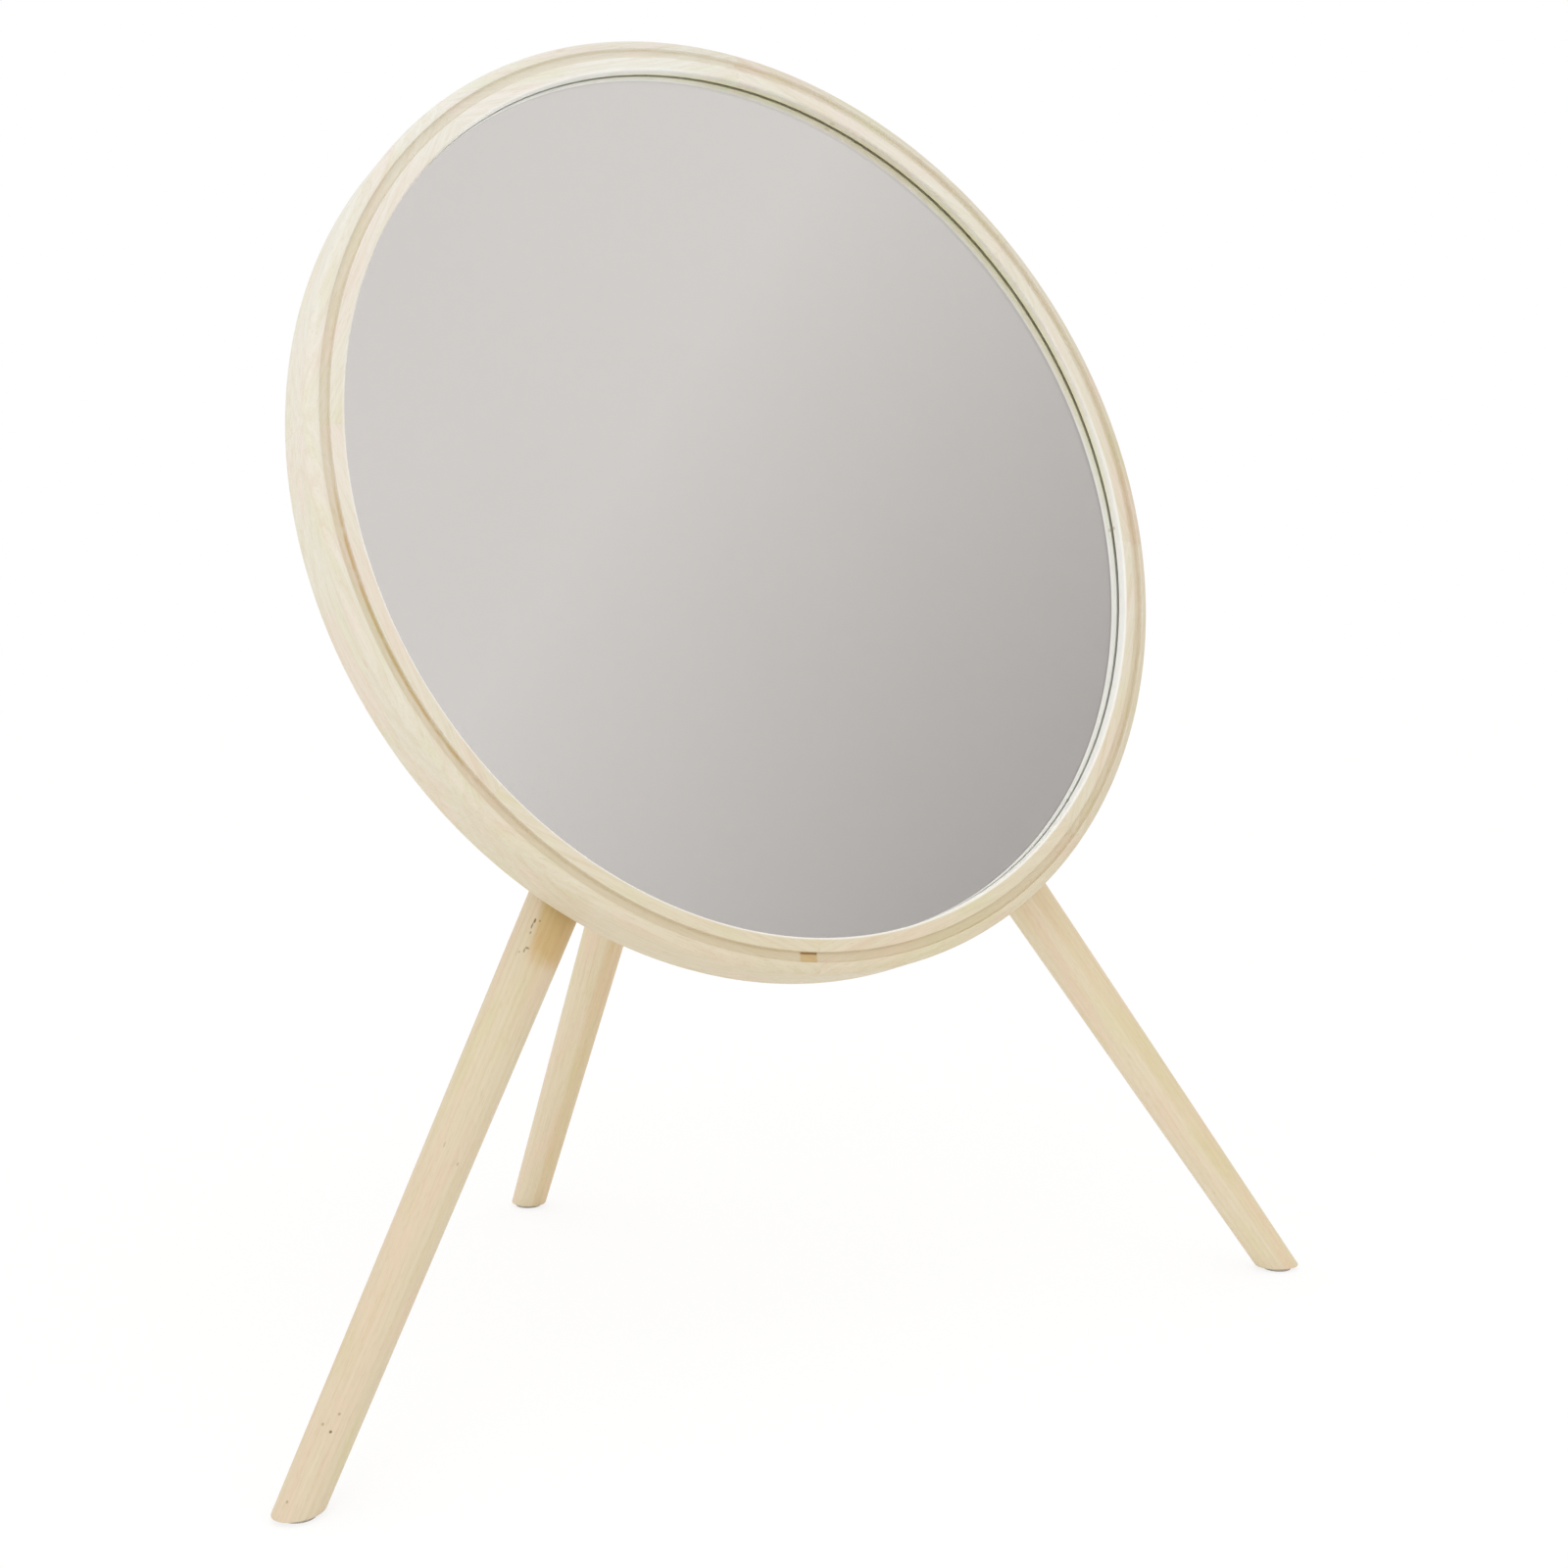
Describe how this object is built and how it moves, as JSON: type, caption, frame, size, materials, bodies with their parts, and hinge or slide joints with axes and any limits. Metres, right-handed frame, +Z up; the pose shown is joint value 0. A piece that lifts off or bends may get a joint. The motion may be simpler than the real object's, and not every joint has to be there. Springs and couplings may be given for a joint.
{
  "type": "floor mirror",
  "caption": "Round floor mirror in a grooved, segmented wooden ring, leaning back on three tapered round legs joined in a hub block behind it.",
  "frame": {"origin": "on the floor, below the centre of the box round the whole mirror", "axes": "+Z up, the mirror looks along -Y and leans back, X across the mirror, left and right leg mirrored about X = 0"},
  "size_m": [0.9884, 0.6063, 1.0823],
  "materials": {
    "ring_wood": "pale ash, sanded, matt white oil",
    "leg_wood": "pale ash, sanded, matt white oil",
    "hub_wood": "pale ash, sanded",
    "dowel_wood": "beech, raw",
    "plywood": "birch plywood, raw",
    "mirror_glass": "polished float glass over silver",
    "silver_coat": "silver with grey protective paint",
    "cork": "pressed cork",
    "foam": "closed-cell foam tape",
    "zinc_screw": "zinc plated",
    "steel_screw": "plain steel",
    "felt": "pressed felt, light grey-beige"
  },
  "bodies": {
    "root": {"ring_segment_1": "ring_wood", "ring_segment_2": "ring_wood", "ring_segment_3": "ring_wood", "ring_segment_4": "ring_wood", "ring_segment_5": "ring_wood", "ring_segment_6": "ring_wood", "ring_segment_7": "ring_wood", "ring_segment_8": "ring_wood", "segment_dowels": "dowel_wood", "mirror_glass": "mirror_glass", "silver_coat": "silver_coat", "glass_edge_spacers": "cork", "cushion_tape": "foam", "back_panel": "plywood", "back_panel_screws": "zinc_screw", "leg_hub": "hub_wood", "hub_screws": "zinc_screw", "leg_left": "leg_wood", "leg_right": "leg_wood", "leg_rear": "leg_wood", "leg_lock_screws": "steel_screw", "foot_felt_left": "felt", "foot_felt_right": "felt", "foot_felt_rear": "felt", "foot_nail_plates": "steel_screw"}
  },
  "joints": []
}
